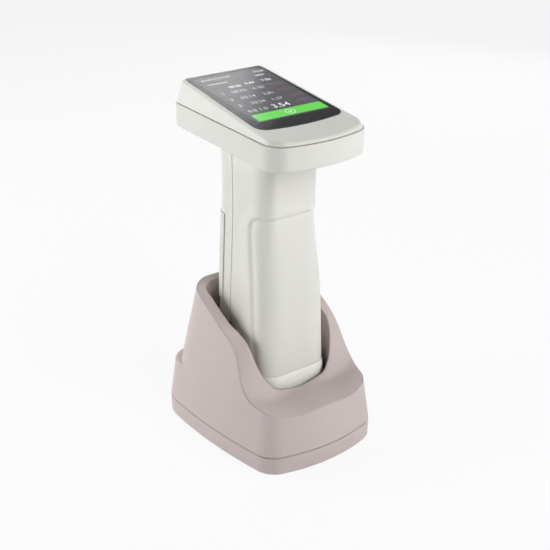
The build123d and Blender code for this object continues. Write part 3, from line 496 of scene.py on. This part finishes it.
def makeScreen():
    depth, step = screen["underGlass"], screen["step"]
    areaDepth, barDepth, numberDepth = depth - 1.5 * step, depth - 3 * step, depth - 5 * step
    border = laidPlate("screenBorder", borderOutline(screen["border"]), depth, step)
    # the border's print glows faintly, painted light
    joined("screenBorder", [border], "printedBlackGlowing")
    area = laidPlate("screenArea", boxOutline(screen["area"]["low"], screen["area"]["high"]), areaDepth, step)
    joined("screenArea", [area], "litDark")
    bar = laidPlate("screenBar", boxOutline(screen["bar"]["low"], screen["bar"]["high"]), barDepth, step)
    joined("screenBar", [bar], "litGreen")
    for finish, rows in screen["numbers"].items():
        parts = [writtenNumber(*row, numberDepth) for row in rows]
        for left, near, right, far in screen["plates"].get(finish, []):
            parts.append(laidPlate("plate", boxOutline((left, near), (right, far)), numberDepth, step))
        joined("screenNumbers_" + finish, parts, finish)
    deselectAll()
    ring = screen["ring"]
    bpy.ops.mesh.primitive_torus_add(major_radius=ring["radius"] / 1000, minor_radius=ring["width"] / 2000,
                                     major_segments=ring["around"], minor_segments=ring["across"])
    loop = bpy.context.object
    loop.data.transform(Matrix.Diagonal((1, 1, step / ring["width"], 1)))
    loop.data.transform(Matrix.Translation((*onGlass(*ring["middle"]), 0)))
    loop.data.transform(glassMatrix(numberDepth))
    strokes = [loop]
    for start, end in zip(screen["tick"], screen["tick"][1:]):
        along = (Vector(end) - Vector(start)).normalized()
        side = Vector((-along.y, along.x)) * screen["tickHalf"]
        corners = [Vector(start) - side, Vector(end) - side, Vector(end) + side, Vector(start) + side]
        strokes.append(laidPlate("stroke", [tuple(corner) for corner in corners], numberDepth - step, step))
    joined("screenTick", strokes, "litWhite")
    print("screen lit")


makeScreen()

# front shell of the handle with the grip let into it, all in millimetres
# each section is its height, half width, front face's y, and its corner's reach across and back
shell = {
    "sections": [(51.8, 25.2, -25.5, 15.0, 9.0), (76.0, 24.8, -24.8, 15.5, 9.0), (104.0, 24.0, -23.8, 15.5, 9.0),
                 (128.0, 22.8, -21.0, 14.5, 9.0), (152.0, 21.8, -18.9, 11.0, 10.5), (176.0, 21.5, -20.4, 9.0, 12.5),
                 (188.0, 21.6, -20.9, 9.0, 12.5), (200.6, 21.9, -21.6, 9.0, 12.5)],
    "seamY": 14.68, "columns": 132, "rows": 250, "wall": 2.0, "smoothAngle": 40,
    "seamFade": 4.0, "lowFade": 6.0,
    "gripReach": 15.4, "gripTop": 159.8, "gripCorner": 10.0, "gripLevel": 0.0,
    "sideCrest": 1.45, "sideWidth": 3.6, "sideFade": 14.0,
    "topCrest": 0.75, "topWidth": 2.0, "topFade": 9.0, "topDip": 0.70, "dipLength": 5.0, "turnLength": 13.0,
    "bosses": [(-20.4, 104), (20.4, 104), (-18.6, 144), (18.6, 144)], "bossRadius": 2.8, "bossHole": 1.05,
    "bossFrontY": 6.5, "bossSides": 32,
}


def sectionAt(z):  # a smooth curve through the sections
    rows = shell["sections"]
    step = next((i for i in range(len(rows) - 1) if z <= rows[i + 1][0]), len(rows) - 2)
    low, high = rows[step], rows[step + 1]
    before, after = rows[max(step - 1, 0)], rows[min(step + 2, len(rows) - 1)]
    span = high[0] - low[0]
    t = (z - low[0]) / span
    values = []
    for k in range(1, 5):
        slopeLow = (high[k] - before[k]) / (high[0] - before[0]) * span
        slopeHigh = (after[k] - low[k]) / (after[0] - low[0]) * span
        values.append(low[k] + (high[k] - low[k]) * (3 * t ** 2 - 2 * t ** 3)
                      + (t ** 3 - 2 * t ** 2 + t) * slopeLow + (t ** 3 - t ** 2) * slopeHigh)
    return values


def onSection(z, share):  # from the left seam to the right one: place, outward way, distance from the seam
    half, front, over, deep = sectionAt(z)
    straight = shell["seamY"] - (front + deep)
    bend = pi / 4 * (3 * (over + deep) - sqrt((3 * over + deep) * (over + 3 * deep)))
    length = 2 * straight + 2 * bend + 2 * (half - over)
    way, mirror = share * length, 1
    if way > length / 2:
        way, mirror = length - way, -1
    if way <= straight:
        return (-half * mirror, shell["seamY"] - way), (-mirror, 0), way
    if way <= straight + bend:
        turn = (way - straight) / bend * pi / 2
        outward = Vector((-cos(turn) * deep, -sin(turn) * over)).normalized()
        return ((-half + over - over * cos(turn)) * mirror, front + deep - deep * sin(turn)), \
               (outward.x * mirror, outward.y), way
    return ((-half + over + way - straight - bend) * mirror, front), (0, -1), way


def eased(t):  # soft step from 0 to 1
    t = min(max(t, 0), 1)
    return t * t * (3 - 2 * t)


def shellRise(z, way):  # how far the skin stands off its section, with a crest round the grip
    look = shell
    inset = way - (look["seamY"] - sectionAt(z)[1] - look["gripReach"])  # from the side edge of the grip inwards
    below = look["gripTop"] - z
    corner = look["gripCorner"]
    if inset < corner and below < corner:
        inside = corner - Vector((corner - inset, corner - below)).length
    else:
        inside = min(inset, below)
    high = eased((look["turnLength"] - below) / look["turnLength"])  # 0 along the sides, 1 at the top
    crest = look["sideCrest"] + (look["topCrest"] - look["sideCrest"]) * high
    width = look["sideWidth"] + (look["topWidth"] - look["sideWidth"]) * high
    fade = look["sideFade"] + (look["topFade"] - look["sideFade"]) * high
    if inside < 0:
        rise = crest * eased(1 + inside / fade)
    else:
        dip = look["topDip"] * high * eased(1 - (inside - width) / look["dipLength"])
        rise = crest + (look["gripLevel"] - dip - crest) * eased(inside / width)
    return rise * eased(way / look["seamFade"]) * eased((z - look["sections"][0][0]) / look["lowFade"])


def makeShell():
    deselectAll()
    bpy.ops.mesh.primitive_grid_add(x_subdivisions=shell["columns"], y_subdivisions=shell["rows"], size=2)
    front = bpy.context.object
    front.name = "handleFrontShell"
    low, high = shell["sections"][0][0], shell["sections"][-1][0]
    for vertex in front.data.vertices:
        z = low + (high - low) * (vertex.co.y + 1) / 2
        place, outward, way = onSection(z, (vertex.co.x + 1) / 2)
        rise = shellRise(z, way)
        vertex.co = ((place[0] + outward[0] * rise) / 1000, (place[1] + outward[1] * rise) / 1000, z / 1000)
    wall = front.modifiers.new("wall", "SOLIDIFY")
    wall.thickness = shell["wall"] / 1000
    wall.offset = -1
    bpy.ops.object.modifier_apply(modifier="wall")
    bpy.ops.object.shade_smooth_by_angle(angle=radians(shell["smoothAngle"]))
    posts = []
    for x, z in shell["bosses"]:  # posts that the handle's screws go into
        deselectAll()
        reach = shell["seamY"] - shell["bossFrontY"]
        middle = (x / 1000, (shell["seamY"] + shell["bossFrontY"]) / 2000, z / 1000)
        bpy.ops.mesh.primitive_cylinder_add(vertices=shell["bossSides"], radius=shell["bossRadius"] / 1000,
                                            depth=reach / 1000, location=middle, rotation=(pi / 2, 0, 0),
                                            end_fill_type="NOTHING")
        post = bpy.context.object
        bpy.ops.object.transform_apply(location=True, rotation=True, scale=True)
        tube = post.modifiers.new("tube", "SOLIDIFY")
        tube.thickness = (shell["bossRadius"] - shell["bossHole"]) / 1000
        bpy.ops.object.modifier_apply(modifier="tube")
        posts.append(post)
    deselectAll()
    for part in [front] + posts:
        part.select_set(True)
    bpy.context.view_layer.objects.active = front
    bpy.ops.object.join()
    front.data.materials.clear()
    front.data.materials.append(made["palePlastic"])
    front.matrix_world = Matrix.Identity(4)
    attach(front, "instrument")
    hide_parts("handle_front_shell")
    print("front shell with", len(front.data.polygons), "faces")


makeShell()
